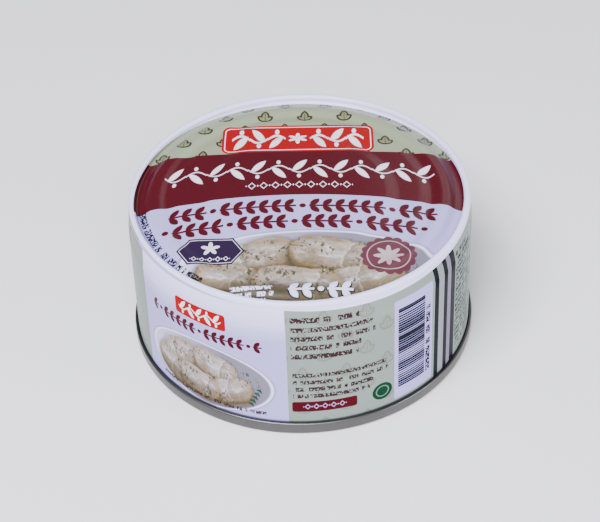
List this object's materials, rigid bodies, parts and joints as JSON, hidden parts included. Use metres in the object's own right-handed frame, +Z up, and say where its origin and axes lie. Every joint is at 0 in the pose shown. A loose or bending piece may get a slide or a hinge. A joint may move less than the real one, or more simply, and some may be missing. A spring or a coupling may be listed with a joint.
{
  "type": "shut round printed tin can of prepared food",
  "caption": "Low round shut food can: printed drawn body with a rounded rim and a ringed lid panel, standing on a plain seamed steel end.",
  "frame": {"origin": "centre of the seam's foot ring, on the surface that the can stands on", "axes": "+Z up along the can's axis of turning, -Y towards the side that faces the camera, X across it"},
  "size_m": [0.1016, 0.1016, 0.047],
  "materials": {
    "printed_lacquer": "gloss lacquer over a printed sage green, white and maroon design",
    "plain_steel": "plain satin tin-plate"
  },
  "bodies": {
    "root": {"can_body": "printed_lacquer", "seamed_end": "plain_steel"}
  },
  "joints": []
}
